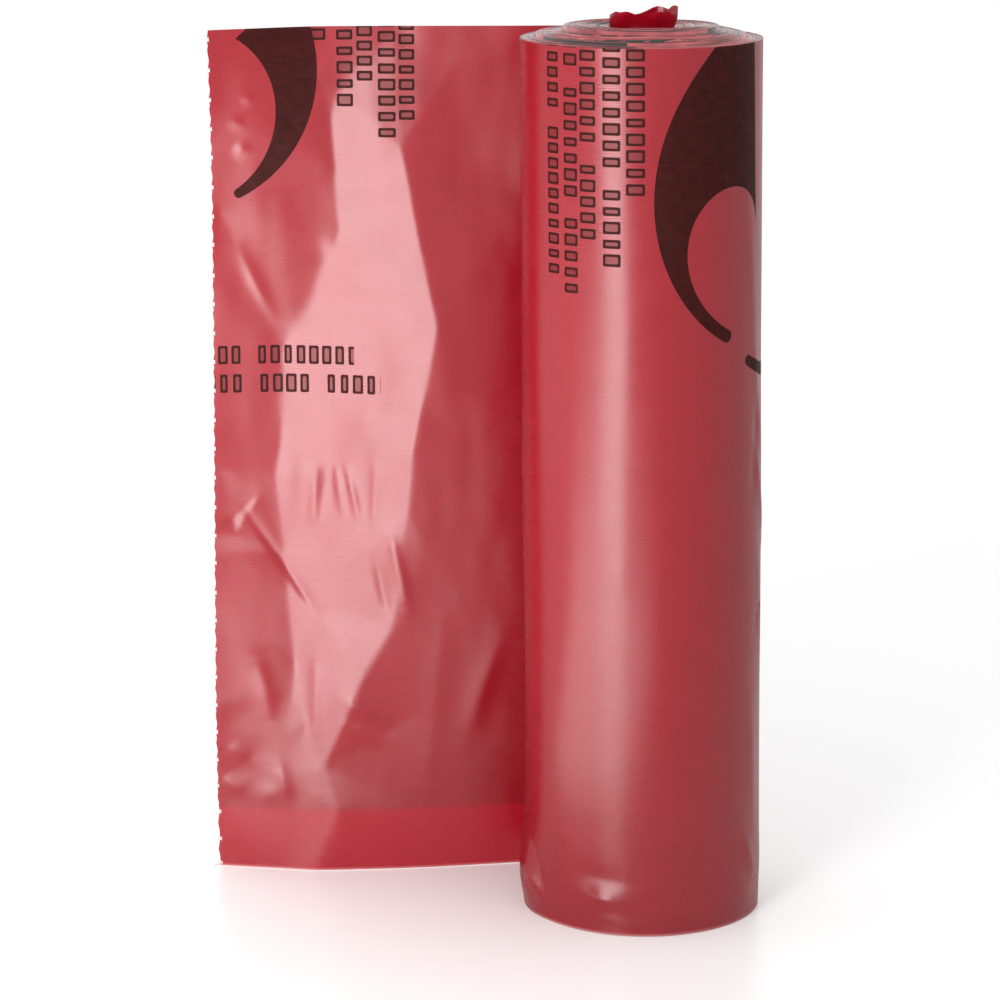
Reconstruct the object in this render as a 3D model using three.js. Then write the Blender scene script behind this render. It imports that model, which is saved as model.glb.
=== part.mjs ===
// A coreless roll of large flat plastic waste bags, stood on its end, with the leading bag drawn off a little way.
// The film is a flat tube, folded once along its length, so the wound web is four plies thick and half a bag wide.
// Millimetres, +Z up. The origin is the middle of the whole object's footprint, on the floor.
import * as THREE from "three";

// The web: a bag tube folded once, with its fold at the top of the standing roll.
const WEB_WIDTH = 387;
const FILM_THICKNESS = 0.0762;
const PLIES = 4;
const WEB_THICKNESS = FILM_THICKNESS * PLIES;
const BAG_LENGTH = 1041;

// The wound roll.
const ROLL_RADIUS = 52.3;
const BORE_RADIUS = 14.5;
const CLEARANCE = 0.3;

// The winding has slipped upwards towards the bore, in bands, so the top is stepped up and the foot is hollow.
// Each band lists its inner radius, how far it has slipped up, and how many grooves part its bunches of turns.
const OUTER_BAND = { inner: 45.5, lift: 0, grooves: 2 };
const MIDDLE_BAND = { inner: 33, lift: 2.2, grooves: 2 };
const INNER_BAND = { inner: BORE_RADIUS, lift: 5.4, grooves: 3 };
const BANDS = [OUTER_BAND, MIDDLE_BAND, INNER_BAND];
const GROOVE_WIDTH = 0.9;
const GROOVE_DEPTH = 0.8;

// The tail: how far the torn edge stands from the roll's axis, and the film's lines in plan at five heights.
// The film swells towards the front along a ridge that leans over the roll, and curls forward at its top corner.
// A bend is its distance from the axis, then its distance before the roll's back. The lines stretch to the web's
// width, and their bends to the tail's reach.
const TAIL_REACH = 189;
const TAIL_LINES = [
  { height: 0, bends: [[50, 1.8], [94, 8.8], [132, 15.8], [161, 11.3], [189, 5.3]] },
  { height: 65, bends: [[50, 3.3], [85, 8.3], [122, 12.3], [143, 11.3], [160, 10.3], [189, 11.3]] },
  { height: 130, bends: [[50, 4.8], [80, 9.8], [112, 13.3], [135, 9.8], [160, 6.3], [189, 10.3]] },
  { height: 260, bends: [[35, 3.8], [60, 8.3], [90, 12.8], [135, 6.3], [162, 3.8], [189, 7.3]] },
  { height: 387, bends: [[52, 0.8], [98, 2.3], [150, 5.3], [174, 17.3], [189, 24.3]] },
];

// The innermost end of the web stands in the bore as a hairpin and rises past the winding.
const INNER_END_LIFT = 14;
const HAIRPIN_DEPTH = 9;
const HAIRPIN_RETURN = 1;

// Facets.
const ROUND_STEPS = 60;
const TAIL_STEPS = 12;
const HAIRPIN_STEPS = 26;

// A strip of web in plan: the outline that lies half a thickness to each side of a curve.
function stripOutline(curve, thickness, steps) {
  const leftSide = [];
  const rightSide = [];
  for (let i = 0; i <= steps; i++) {
    const share = i / steps;
    const point = curve.getPointAt(share);
    const along = curve.getTangentAt(share);
    const across = new THREE.Vector2(-along.y, along.x).multiplyScalar(thickness / 2);
    leftSide.push(point.clone().add(across));
    rightSide.push(point.clone().sub(across));
  }
  return { leftSide, rightSide };
}

function extrudeUp(shape, height) {
  return new THREE.ExtrudeGeometry(shape, { depth: height, bevelEnabled: false, curveSegments: 1 });
}

function film(colour, roughness) {
  return new THREE.MeshStandardMaterial({ color: colour, roughness, metalness: 0 });
}

// The middle line of the tail in plan, from where it leaves the back of the roll to the torn edge.
function tailCurve(bends) {
  const leaving = new THREE.Vector2(0, ROLL_RADIUS - WEB_THICKNESS / 2);
  const stretch = TAIL_REACH / bends.at(-1)[0];
  const points = bends.map(([along, before]) => new THREE.Vector2(-along * stretch, ROLL_RADIUS - before));
  return new THREE.SplineCurve([leaving, ...points]);
}

// The rest of the leading bag is still wrapped round the roll, and this is the mean build of those turns.
function wrapBuild() {
  const turns = (BAG_LENGTH - tailCurve(TAIL_LINES[0].bends).getLength()) / (2 * Math.PI * ROLL_RADIUS);
  return turns * WEB_THICKNESS;
}

function pointOnCircle(radius, angle) {
  return new THREE.Vector2(radius * Math.cos(angle), radius * Math.sin(angle));
}

// One outline: round the roll clockwise from the back, then out along the tail's front face and home along its back.
function leadingBagOutline(bends) {
  const back = Math.PI / 2;
  const meeting = Math.acos((ROLL_RADIUS - WEB_THICKNESS) / ROLL_RADIUS);
  const stepAngle = (2 * Math.PI) / ROUND_STEPS;
  const outline = [];
  for (let angle = 0; angle < 2 * Math.PI - meeting - 1e-6; angle += stepAngle) {
    outline.push(pointOnCircle(ROLL_RADIUS, back - angle));
  }
  outline.push(pointOnCircle(ROLL_RADIUS, back + meeting));
  const { leftSide: frontFace, rightSide: backFace } = stripOutline(tailCurve(bends), WEB_THICKNESS, TAIL_STEPS);
  outline.push(...frontFace.slice(1));
  outline.push(...backFace.slice(1).reverse());
  return outline;
}

function leadingBagBore() {
  const inside = [];
  for (let i = 0; i < ROUND_STEPS; i++) {
    inside.push(pointOnCircle(ROLL_RADIUS - wrapBuild(), Math.PI / 2 + (i * 2 * Math.PI) / ROUND_STEPS));
  }
  return inside;
}

// A closed solid between outlines at rising heights, with a straight hole through it. The outlines run clockwise.
function lofted(levels, hole) {
  const positions = [];
  const triangles = [];
  const rings = levels.map(({ height, outline }) => addRing(positions, outline, height));
  const holeFoot = addRing(positions, hole, levels[0].height);
  const holeTop = addRing(positions, hole, levels.at(-1).height);
  for (let i = 1; i < rings.length; i++) {
    addWall(triangles, rings[i - 1], rings[i]);
  }
  addWall(triangles, holeFoot, holeTop);
  addCap(triangles, levels[0].outline, hole, [...rings[0], ...holeFoot], false);
  addCap(triangles, levels.at(-1).outline, hole, [...rings.at(-1), ...holeTop], true);
  const geometry = new THREE.BufferGeometry();
  geometry.setAttribute("position", new THREE.Float32BufferAttribute(positions, 3));
  geometry.setIndex(triangles);
  geometry.computeVertexNormals();
  return geometry;
}

function addRing(positions, outline, height) {
  const first = positions.length / 3;
  for (const point of outline) {
    positions.push(point.x, point.y, height);
  }
  return outline.map((_, i) => first + i);
}

// The wall between two rings that run clockwise has its outer face on their left, and a hole's runs the other way.
function addWall(triangles, lower, upper) {
  for (let i = 0; i < lower.length; i++) {
    const next = (i + 1) % lower.length;
    triangles.push(lower[i], upper[i], upper[next], lower[i], upper[next], lower[next]);
  }
}

function addCap(triangles, outline, hole, indices, facesUp) {
  for (const [a, b, c] of THREE.ShapeUtils.triangulateShape([...outline], [[...hole]])) {
    const corners = [a, b, c].map((i) => [...outline, ...hole][i]);
    const risesLeft = new THREE.Vector2().subVectors(corners[1], corners[0]);
    const turnsUp = risesLeft.cross(new THREE.Vector2().subVectors(corners[2], corners[0])) > 0;
    const order = turnsUp === facesUp ? [a, b, c] : [a, c, b];
    triangles.push(...order.map((i) => indices[i]));
  }
}

function leadingBagSolid() {
  const stretch = WEB_WIDTH / TAIL_LINES.at(-1).height;
  const levels = TAIL_LINES.map(({ height, bends }) => ({
    height: height * stretch,
    outline: leadingBagOutline(bends),
  }));
  return lofted(levels, leadingBagBore());
}

// The end face of one band, from its outer radius in to its inner one, with a V groove between bunches of turns.
function bandFace(band, outer, height, intoFilm) {
  const bunches = band.grooves + 1;
  const bunchWidth = (outer - band.inner) / bunches;
  const points = [new THREE.Vector2(outer, height)];
  for (let i = 1; i < bunches; i++) {
    const radius = outer - i * bunchWidth;
    points.push(
      new THREE.Vector2(radius + GROOVE_WIDTH / 2, height),
      new THREE.Vector2(radius, height + intoFilm * GROOVE_DEPTH),
      new THREE.Vector2(radius - GROOVE_WIDTH / 2, height),
    );
  }
  points.push(new THREE.Vector2(band.inner, height));
  return points;
}

// The bags still wound: one turned solid, whose ends are stepped alike because every turn is one web wide.
function woundBagsProfile() {
  const top = [];
  const foot = [];
  let outer = ROLL_RADIUS - wrapBuild() - CLEARANCE;
  for (const band of BANDS) {
    top.push(...bandFace(band, outer, band.lift + WEB_WIDTH, -1));
    foot.push(...bandFace(band, outer, band.lift, 1));
    outer = band.inner;
  }
  return [...foot.reverse(), ...top];
}

// The lathe's profile runs up its outer side and closes on itself at the bore.
function turned(profile) {
  const closed = [...profile, profile[0].clone()];
  const geometry = new THREE.LatheGeometry(closed, ROUND_STEPS);
  return geometry.rotateX(Math.PI / 2);
}

// The hairpin in plan: off the bore's wall on the right, bowed across the front, round at the left wall and back.
function innerEndCurve() {
  const seat = BORE_RADIUS * Math.cos(Math.PI / ROUND_STEPS) - CLEARANCE - WEB_THICKNESS / 2;
  return new THREE.SplineCurve([
    pointOnCircle(seat, -Math.PI / 12),
    new THREE.Vector2(seat * 0.5, -HAIRPIN_DEPTH * 0.9),
    new THREE.Vector2(-seat * 0.25, -HAIRPIN_DEPTH),
    new THREE.Vector2(-seat * 0.75, -HAIRPIN_DEPTH * 0.65),
    new THREE.Vector2(-seat, -HAIRPIN_RETURN * 2),
    new THREE.Vector2(-seat * 0.7, -HAIRPIN_RETURN),
    new THREE.Vector2(seat * 0.1, -HAIRPIN_RETURN * 2),
    new THREE.Vector2(seat * 0.8, -HAIRPIN_RETURN),
  ]);
}

function innerEndShape() {
  const { leftSide, rightSide } = stripOutline(innerEndCurve(), WEB_THICKNESS, HAIRPIN_STEPS);
  return new THREE.Shape([...leftSide, ...rightSide.reverse()]);
}

const leadingBag = new THREE.Mesh(leadingBagSolid(), film(0xc8454b, 0.32));
leadingBag.name = "leading_bag";

const woundBags = new THREE.Mesh(turned(woundBagsProfile()), film(0xb33a42, 0.38));
woundBags.name = "wound_bags";
woundBags.rotation.z = Math.PI / 2;

const innerEnd = new THREE.Mesh(extrudeUp(innerEndShape(), WEB_WIDTH), film(0xc23a42, 0.32));
innerEnd.name = "inner_bag_end";
innerEnd.position.z = INNER_END_LIFT;

const bagRoll = new THREE.Group();
bagRoll.add(woundBags, leadingBag, innerEnd);

// The roll's axis stands to one side of the footprint's middle, because the tail reaches out the other way.
bagRoll.updateMatrixWorld(true);
const footprint = new THREE.Box3().setFromObject(bagRoll, true);
bagRoll.position.x = -(footprint.min.x + footprint.max.x) / 2;
bagRoll.position.y = -(footprint.min.y + footprint.max.y) / 2;

export default bagRoll;
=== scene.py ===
import bpy
import numpy as np
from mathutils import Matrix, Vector
from mathutils.geometry import delaunay_2d_cdt


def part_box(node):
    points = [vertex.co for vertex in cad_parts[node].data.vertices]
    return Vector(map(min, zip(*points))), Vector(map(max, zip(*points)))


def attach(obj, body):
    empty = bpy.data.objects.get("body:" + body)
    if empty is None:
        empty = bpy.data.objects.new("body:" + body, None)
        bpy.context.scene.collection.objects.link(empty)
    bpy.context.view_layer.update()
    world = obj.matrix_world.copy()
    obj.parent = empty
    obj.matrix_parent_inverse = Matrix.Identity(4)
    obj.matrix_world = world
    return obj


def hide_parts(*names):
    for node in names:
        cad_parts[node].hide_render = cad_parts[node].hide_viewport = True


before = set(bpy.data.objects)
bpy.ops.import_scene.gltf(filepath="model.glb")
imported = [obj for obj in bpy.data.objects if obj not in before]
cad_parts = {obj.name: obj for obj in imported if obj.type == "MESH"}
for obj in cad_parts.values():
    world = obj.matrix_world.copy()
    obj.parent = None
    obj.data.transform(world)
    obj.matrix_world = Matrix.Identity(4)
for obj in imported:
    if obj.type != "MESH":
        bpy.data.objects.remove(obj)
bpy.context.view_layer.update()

MM = 0.001
TURN = 2 * np.pi

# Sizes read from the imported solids.
film_low, film_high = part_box("leading_bag")
wound_low, wound_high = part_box("wound_bags")
AXIS_X = (wound_low.x + wound_high.x) / 2 / MM
WEB_WIDTH = film_high.z / MM
ROLL_RADIUS = film_high.y / MM
TAIL_REACH = AXIS_X - film_low.x / MM

# The web: a bag tube folded once, so it has two flaps of two plies, joined by a fold at the top. The outer flap
# goes once round the roll, and under itself by an angle in radians.
TURN_PITCH = 0.33
TUCKED_ANGLE = 0.3
FLAP_GAP = 0.5
FRONT_FLAP_FOOT = 29.3
PERFORATION_PITCH = 13.2

# The roll leans a little: how far its axis is off to the right at the foot and to the left at the top.
LEAN_FOOT = 1.9
LEAN_TOP = -1.7

# The camera, from the photo's perspective.
CAMERA_PLACE = (-61.9, -1538.0, 536.5)
CAMERA_PITCH = 77.09
CAMERA_LENS = 129.06


def place(points):
    """Points in the roll's frame, in millimetres, as points in the part's frame, in metres."""
    points = np.asarray(points, float)
    return (points + [AXIS_X, 0, 0]) * MM


def lean(z):
    return LEAN_FOOT + (LEAN_TOP - LEAN_FOOT) * np.asarray(z) / WEB_WIDTH


def smooth_step(value, start, end):
    share = np.clip((value - start) / (end - start), 0, 1)
    return share * share * (3 - 2 * share)


def hermite(u, step, low, high, low_slope, high_slope):
    """A cubic between two values, with u from 0 to 1 over the step, from one slope to the other."""
    values = low * (2 * u**3 - 3 * u**2 + 1) + high * (3 * u**2 - 2 * u**3)
    return values + step * (low_slope * (u**3 - 2 * u**2 + u) + high_slope * (u**3 - u**2))


def spline(points):
    """A smooth curve through (x, value) points, as a function of x. Past its ends it goes on straight."""
    knots, values = np.array(points, float).T
    slopes = np.gradient(values, knots)

    def at(x):
        held = np.clip(x, knots[0], knots[-1])
        i = np.clip(np.searchsorted(knots, held) - 1, 0, len(knots) - 2)
        step = knots[i + 1] - knots[i]
        inside = hermite((held - knots[i]) / step, step, values[i], values[i + 1], slopes[i], slopes[i + 1])
        return inside + (x - held) * np.where(x < held, slopes[0], slopes[-1])

    return at


def blur(field, sigma):
    """A field on a 1 mm grid, blurred by a Gaussian of sigma millimetres, with its edges carried outwards."""
    reach = int(np.ceil(3 * sigma))
    weights = np.exp(-0.5 * (np.arange(-reach, reach + 1) / sigma) ** 2)
    weights /= weights.sum()
    for axis in (0, 1):
        padding = [(0, 0), (0, 0)]
        padding[axis] = (reach, reach)
        padded = np.pad(field, padding, mode="edge")
        field = np.apply_along_axis(lambda line: np.convolve(line, weights, mode="valid"), axis, padded)
    return field


def soft_noise(shape, sigmas, seed):
    """Seeded noise on a 1 mm grid, blurred by one sigma along each axis, with a spread of 1."""
    noise = np.random.default_rng(seed).standard_normal(shape)
    for axis, sigma in enumerate(sigmas):
        reach = int(np.ceil(3 * sigma))
        weights = np.exp(-0.5 * (np.arange(-reach, reach + 1) / sigma) ** 2)
        noise = np.apply_along_axis(lambda line: np.convolve(line, weights, mode="same"), axis, noise)
    return noise / noise.std()


def grid_faces(columns, rows):
    index = np.arange(columns * rows).reshape(columns, rows)
    return np.stack([index[:-1, :-1], index[1:, :-1], index[1:, 1:], index[:-1, 1:]], axis=-1).reshape(-1, 4)


def add_mesh(name, points, faces, materials, web=None, smooth=True):
    """A mesh object from points in the roll's frame, with its web coordinates in millimetres as UV map."""
    mesh = bpy.data.meshes.new(name)
    mesh.from_pydata(place(points).tolist(), [], np.asarray(faces).tolist())
    if web is not None:
        corners = np.zeros(len(mesh.loops), np.int32)
        mesh.loops.foreach_get("vertex_index", corners)
        layer = mesh.uv_layers.new(name="web")
        layer.data.foreach_set("uv", np.asarray(web, np.float32)[corners].ravel())
    mesh.polygons.foreach_set("use_smooth", [smooth] * len(mesh.polygons))
    for material in materials:
        mesh.materials.append(material)
    mesh.update()
    piece = bpy.data.objects.new(name, mesh)
    bpy.context.scene.collection.objects.link(piece)
    return piece


# Tail relief: how far the drawn-off film stands behind the roll's axis, as a height field over (x, z).

# The film's lines in plan, by height: along its foot, at two heights between, and along the fold at the top.
# part.mjs bends the solid tail along the same lines.
TAIL_LINES = {
    0: [(-189, 47), (-161, 41), (-132, 36.5), (-94, 43.5), (-50, 50.5), (0, 52.3)],
    65: [(-189, 41), (-160, 42), (-143, 41), (-122, 40), (-85, 44), (-50, 49), (0, 52.3)],
    130: [(-189, 42), (-160, 46), (-135, 42.5), (-112, 39), (-80, 42.5), (-50, 47.5), (0, 52.3)],
    260: [(-189, 45), (-162, 48.5), (-135, 46), (-90, 39.5), (-60, 44), (-35, 48.5), (0, 52.3)],
    387: [(-189, 28), (-174, 35), (-150, 47), (-98, 50), (-52, 51.5), (0, 52.3)],
}

# The crease net: corners of the film's facets, as (x, z).
NET = {
    "top_corner": (-189, 387),
    "top_a": (-143, 387),
    "top_b": (-108, 387),
    "top_c": (-76, 387),
    "top_d": (-45, 387),
    "head": (-143, 370),
    "head_low": (-137, 346),
    "head_foot": (-135, 322),
    "head_end": (-133, 296),
    "star": (-105, 334),
    "star_left": (-133, 359),
    "star_right": (-81, 370),
    "spine_a": (-96, 288),
    "spine_b": (-89, 255),
    "spine_c": (-87, 231),
    "spine_d": (-97, 217),
    "spine_e": (-101, 196),
    "spine_f": (-103, 170),
    "spine_g": (-105, 159),
    "hip_left": (-122, 153),
    "hip_mid": (-113, 160),
    "pleat": (-138, 186),
    "fan_a": (-187, 306),
    "fan_b": (-168, 265),
    "fan_c": (-160, 240),
    "edge_a": (-188, 350),
    "edge_b": (-188, 262),
    "edge_c": (-189, 222),
    "edge_d": (-189, 190),
    "edge_e": (-190, 150),
    "edge_f": (-190, 110),
    "edge_g": (-190, 70),
    "edge_h": (-190, 36),
    "slash_a": (-176, 168),
    "slash_b": (-161, 149),
    "slash_c": (-146, 123),
    "patch_top": (-169, 178),
    "patch_left": (-181, 158),
    "patch_far": (-183, 166),
    "shadow_a": (-139, 222),
    "shadow_b": (-161, 200),
    "shadow_c": (-163, 185),
    "bright_a": (-160, 143),
    "bright_b": (-159, 130),
    "bright_c": (-156, 100),
    "bright_d": (-150, 71),
    "tip": (-143, 49),
    "bright_e": (-124, 93),
    "bright_f": (-111, 117),
    "bright_g": (-122, 148),
    "wedge_a": (-181, 151),
    "wedge_b": (-165, 108),
    "wedge_c": (-157, 84),
    "low_a": (-172, 62),
    "low_b": (-163, 45),
    "foot_a": (-137, 30),
    "foot_b": (-133, 0),
    "foot_left": (-191, 0),
    "foot_c": (-98, 0),
    "foot_d": (-52, 0),
    "band_left": (-190, 29),
    "band_c": (-98, 29),
    "band_d": (-52, 29),
    "plain_a": (-100, 75),
    "plain_b": (-80, 120),
    "plain_c": (-72, 60),
    "plain_d": (-68, 200),
    "plain_e": (-66, 290),
    "plain_f": (-75, 330),
    "join_a": (-38, 387),
    "join_b": (-38, 300),
    "join_c": (-38, 200),
    "join_d": (-38, 100),
    "join_e": (-38, 0),
    "top_e": (-174, 387),
    "top_f": (-158, 387),
    "foot_e": (-161, 0),
    "foot_f": (-115, 0),
    "foot_g": (-75, 0),
    "seam_a": (-14, 387),
    "seam_b": (-14, 260),
    "seam_c": (-14, 130),
    "seam_d": (-14, 0),
    "corner_a": (-174, 350),
}

# Creases that facets keep between them, each a run of corners. The film stays crisp close to one.
CREASES = [
    ("head", "head_low", "head_foot", "head_end"),
    ("head", "star_left", "star", "top_b"),
    ("star", "star_right", "top_c"),
    ("star", "spine_a", "spine_b", "spine_c", "spine_d", "spine_e", "spine_f", "spine_g"),
    ("spine_g", "hip_mid", "hip_left", "bright_g"),
    ("shadow_c", "pleat", "hip_left"),
    ("slash_c", "bright_e"),
    ("bright_b", "slash_c"),
    ("bright_g", "slash_c"),
    ("plain_a", "tip"),
    ("fan_a", "fan_b", "fan_c"),
    ("edge_d", "slash_a", "slash_b", "slash_c"),
    ("patch_top", "slash_a", "patch_left", "wedge_a"),
    ("patch_top", "patch_far", "patch_left"),
    ("wedge_a", "wedge_b", "wedge_c", "bright_d"),
    ("shadow_a", "shadow_b", "shadow_c", "bright_a"),
    ("bright_a", "bright_b", "bright_c", "bright_d", "tip", "foot_a", "foot_b"),
    ("tip", "bright_e", "bright_f", "bright_g"),
]

# How the facets face: at each place (x, z), degrees turned to the left and degrees turned up.
FACINGS = [
    (-180, 370, -22, -8),
    (-160, 372, -14, -5),
    (-174, 369, -16, -7),
    (-176, 335, -12, -8),
    (-156, 355, -8, -3),
    (-150, 350, -4, -3),
    (-146, 320, -2, -2),
    (-150, 285, 1.5, 0),
    (-170, 326, -9, -6),
    (-175, 300, -9, -5),
    (-182, 275, -2, -3),
    (-155, 262, 0, 0),
    (-178, 240, -7, 0),
    (-150, 240, 4, 0),
    (-129, 239, 11, 1),
    (-125, 375, -1, 0),
    (-115, 362, 3, 3),
    (-92, 375, 8, 0),
    (-98, 364, 8, 2),
    (-125, 335, 10, 2),
    (-115, 300, 10, 2),
    (-115, 260, 11, 2),
    (-110, 235, 13, 2),
    (-91, 234, 6, 2),
    (-120, 205, 15, 3),
    (-135, 206, 13, 3),
    (-115, 180, 14, 3),
    (-106, 175, 10, 0),
    (-135, 185, 12, 2),
    (-152, 205, 6, 0),
    (-150, 175, -2, -4),
    (-140, 170, 6, -7),
    (-141, 158, 8, -5),
    (-88, 335, -8, 0),
    (-80, 300, -8, 0),
    (-75, 250, -15, 0),
    (-82, 200, -15, 0),
    (-80, 160, -15, 0),
    (-62, 340, 5, 0),
    (-67, 381, 0, 0),
    (-55, 300, -6, 0),
    (-55, 220, -14, 0),
    (-55, 130, -14, 0),
    (-175, 195, -10, 0),
    (-180, 175, -14, -4),
    (-176, 171, 12, 4),
    (-180, 164, 14, 6),
    (-173, 157, -10, 0),
    (-169, 165, -10, 0),
    (-164, 172, -8, 0),
    (-163, 160, -8, -4),
    (-170, 148, -4, 0),
    (-168, 130, -5, 2),
    (-182, 120, -16, 0),
    (-160, 112, -14, 0),
    (-154, 118, 12, 7),
    (-140, 140, 11, 7),
    (-126, 129, 12, 7),
    (-142, 105, 14, 9),
    (-127, 111, 13, 9),
    (-143, 88, 13, 9),
    (-143, 70, 12, 9),
    (-114, 141, -6, -2),
    (-100, 130, -8, 0),
    (-112, 95, -10, 0),
    (-122, 72, -9, 2),
    (-97, 104, -8, 0),
    (-90, 60, -8, 0),
    (-114, 51, -7, 3),
    (-126, 36, -6, 5),
    (-148, 41, -2, 5),
    (-152, 55, -8, 2),
    (-165, 75, -8, 2),
    (-162, 59, -4, 2),
    (-180, 80, -8, 0),
    (-175, 48, -5, 0),
    (-165, 15, 6, 0),
    (-115, 15, -8, 0),
    (-75, 15, -10, 0),
]

# How hard a corner is held to the smooth film: inside the tail, along its edges and where it meets the roll.
ANCHOR_PULL = 0.01
EDGE_PULL = 1.0
ROLL_PULL = 20.0

# How rounded the creases are: in general, along the listed ones, and how far from those the crispness reaches.
SOFT_CREASE = 3.5
CRISP_CREASE = 0.9
CRISP_REACH = 8.0

# A ridge's profile: the power of its flanks, where its ends are held, as a share of its length, and their fade.
TAIL_RIDGE = (1.5, 0.04, 0.5)
SKIN_RIDGE = (1.6, 0.06, 0.6)

# Fine creases on the tail: two ends (x, z), half-width and height towards the front.
FINE_CREASES = [
    ((-176, 168), (-146, 122), 1.4, -0.7),
    ((-145, 188), (-147, 160), 2.6, 0.8),
    ((-136, 190), (-133, 168), 1.6, 0.6),
    ((-131, 190), (-126, 166), 1.6, 0.7),
    ((-118, 192), (-119, 160), 2.0, 0.5),
    ((-111, 158), (-104, 125), 3.0, 1.4),
    ((-118, 148), (-113, 122), 2.6, -1.0),
    ((-146, 100), (-147, 60), 2.4, 0.7),
    ((-133, 82), (-118, 72), 4.0, 1.0),
    ((-130, 70), (-116, 60), 4.0, 0.9),
    ((-172, 100), (-166, 70), 4.5, 1.2),
    ((-163, 50), (-160, 34), 3.5, 0.9),
    ((-186, 60), (-178, 52), 4.0, 0.8),
    ((-189, 44), (-180, 36), 4.0, 0.9),
    ((-178, 288), (-164, 258), 3.0, 0.7),
    ((-62, 110), (-80, 60), 6.0, 1.0),
    ((-88, 120), (-96, 40), 7.0, 0.9),
]

# Small dents and bumps: centre (x, z), half-width and height towards the front.
DIMPLES = [
    ((-173, 356), 2.2, 0.5),
    ((-178, 345), 2.6, 0.6),
    ((-176, 333), 3.0, 0.6),
    ((-137, 290), 4.0, 0.35),
    ((-168, 36), 5.0, 0.6),
]

RELIEF_X = np.arange(-198.0, 6.0)
RELIEF_Z = np.arange(-4.0, 393.0)


def net_triangles():
    """The crease net's corners and the triangles between them, with a frame of corners outside the film."""
    names = list(NET)
    corners = [NET[name] for name in names]
    outside = [(x, z) for x in (-198, 6) for z in (-4, 80, 160, 240, 320, 393)]
    outside += [(x, z) for x in (-150, -100, -50) for z in (-4, 393)]
    edges = [(names.index(a), names.index(b)) for run in CREASES for a, b in zip(run, run[1:])]
    vectors = [Vector(corner) for corner in corners + outside]
    found = delaunay_2d_cdt(vectors, edges, [], 0, 1e-4)
    return np.array([tuple(v) for v in found[0]]), np.array(found[2])


def base_line(x, z):
    """The smooth film without its creases, through its lines in plan."""
    heights = np.array(list(TAIL_LINES), float)
    lines = np.stack([spline(line)(x) for line in TAIL_LINES.values()])
    slopes = np.gradient(lines, heights, axis=0)
    above = np.clip(np.searchsorted(heights, z), 1, len(heights) - 1)
    step = heights[above] - heights[above - 1]
    u = (z - heights[above - 1]) / step
    low, high = np.take_along_axis(lines, above[None] - 1, 0)[0], np.take_along_axis(lines, above[None], 0)[0]
    low_slope = np.take_along_axis(slopes, above[None] - 1, 0)[0]
    high_slope = np.take_along_axis(slopes, above[None], 0)[0]
    return hermite(u, step, low, high, low_slope, high_slope)


def solve_net(corners, triangles):
    """How far back each corner stands, so that the facets face as asked and the edges keep their lines."""
    rows = []
    wanted = []
    facings = np.array(FACINGS, float)
    for triangle in triangles:
        (x1, z1), (x2, z2), (x3, z3) = corners[triangle]
        area = (x2 - x1) * (z3 - z1) - (x3 - x1) * (z2 - z1)
        if abs(area) < 1e-6:
            continue
        middle = corners[triangle].mean(axis=0)
        nearest = np.argmin(np.hypot(facings[:, 0] - middle[0], facings[:, 1] - middle[1]))
        left, up = np.radians(facings[nearest, 2:])
        weight = np.sqrt(abs(area) / 2)
        slope_x = np.zeros(len(corners))
        slope_z = np.zeros(len(corners))
        slope_x[triangle] = np.array([z2 - z3, z3 - z1, z1 - z2]) / area
        slope_z[triangle] = np.array([x3 - x2, x1 - x3, x2 - x1]) / area
        rows += [slope_x * weight, slope_z * weight]
        wanted += [-np.tan(left) * weight, np.tan(up) * weight]
    base = base_line(corners[:, 0], corners[:, 1])
    for i, (x, z) in enumerate(corners):
        on_edge = z < 3 or z > WEB_WIDTH - 3 or x > -45
        pull = ROLL_PULL if x > -20 else EDGE_PULL if on_edge else ANCHOR_PULL
        row = np.zeros(len(corners))
        row[i] = pull
        rows.append(row)
        wanted.append(base[i] * pull)
    depth = np.linalg.lstsq(np.array(rows), np.array(wanted), rcond=None)[0]
    return depth


def paint_triangles(corners, triangles, values):
    """Values at the corners, spread evenly over their triangles on the relief's grid."""
    field = np.zeros((len(RELIEF_X), len(RELIEF_Z)))
    for triangle in triangles:
        (x1, z1), (x2, z2), (x3, z3) = corners[triangle]
        area = (x2 - x1) * (z3 - z1) - (x3 - x1) * (z2 - z1)
        if abs(area) < 1e-6:
            continue
        low, high = corners[triangle].min(axis=0), corners[triangle].max(axis=0)
        columns = np.flatnonzero((RELIEF_X >= low[0]) & (RELIEF_X <= high[0]))
        rows = np.flatnonzero((RELIEF_Z >= low[1]) & (RELIEF_Z <= high[1]))
        if not len(columns) or not len(rows):
            continue
        x, z = np.meshgrid(RELIEF_X[columns], RELIEF_Z[rows], indexing="ij")
        b = ((x - x1) * (z3 - z1) - (x3 - x1) * (z - z1)) / area
        c = ((x2 - x1) * (z - z1) - (x - x1) * (z2 - z1)) / area
        inside = (b >= -1e-6) & (c >= -1e-6) & (b + c <= 1 + 1e-6)
        v1, v2, v3 = values[triangle]
        block = field[np.ix_(columns, rows)]
        block[inside] = (v1 + b * (v2 - v1) + c * (v3 - v1))[inside]
        field[np.ix_(columns, rows)] = block
    return field


def distance_to_segment(x, z, start, end):
    """Distance from each point to a segment, and how far along it the nearest point is, from 0 to 1."""
    (x1, z1), (x2, z2) = start, end
    length = np.hypot(x2 - x1, z2 - z1)
    share = np.clip(((x - x1) * (x2 - x1) + (z - z1) * (z2 - z1)) / length**2, 0, 1)
    return np.hypot(x - x1 - share * (x2 - x1), z - z1 - share * (z2 - z1)), share


def ridge(x, z, start, end, width, height, profile):
    """A crease's height at each point, over a segment that it follows."""
    flank, taper, fade = profile
    distance, share = distance_to_segment(x, z, start, end)
    across = np.exp(-np.abs(distance / width) ** flank)
    along = np.sin(np.pi * np.clip(share, taper, 1 - taper)) ** fade
    return height * across * along


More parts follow.
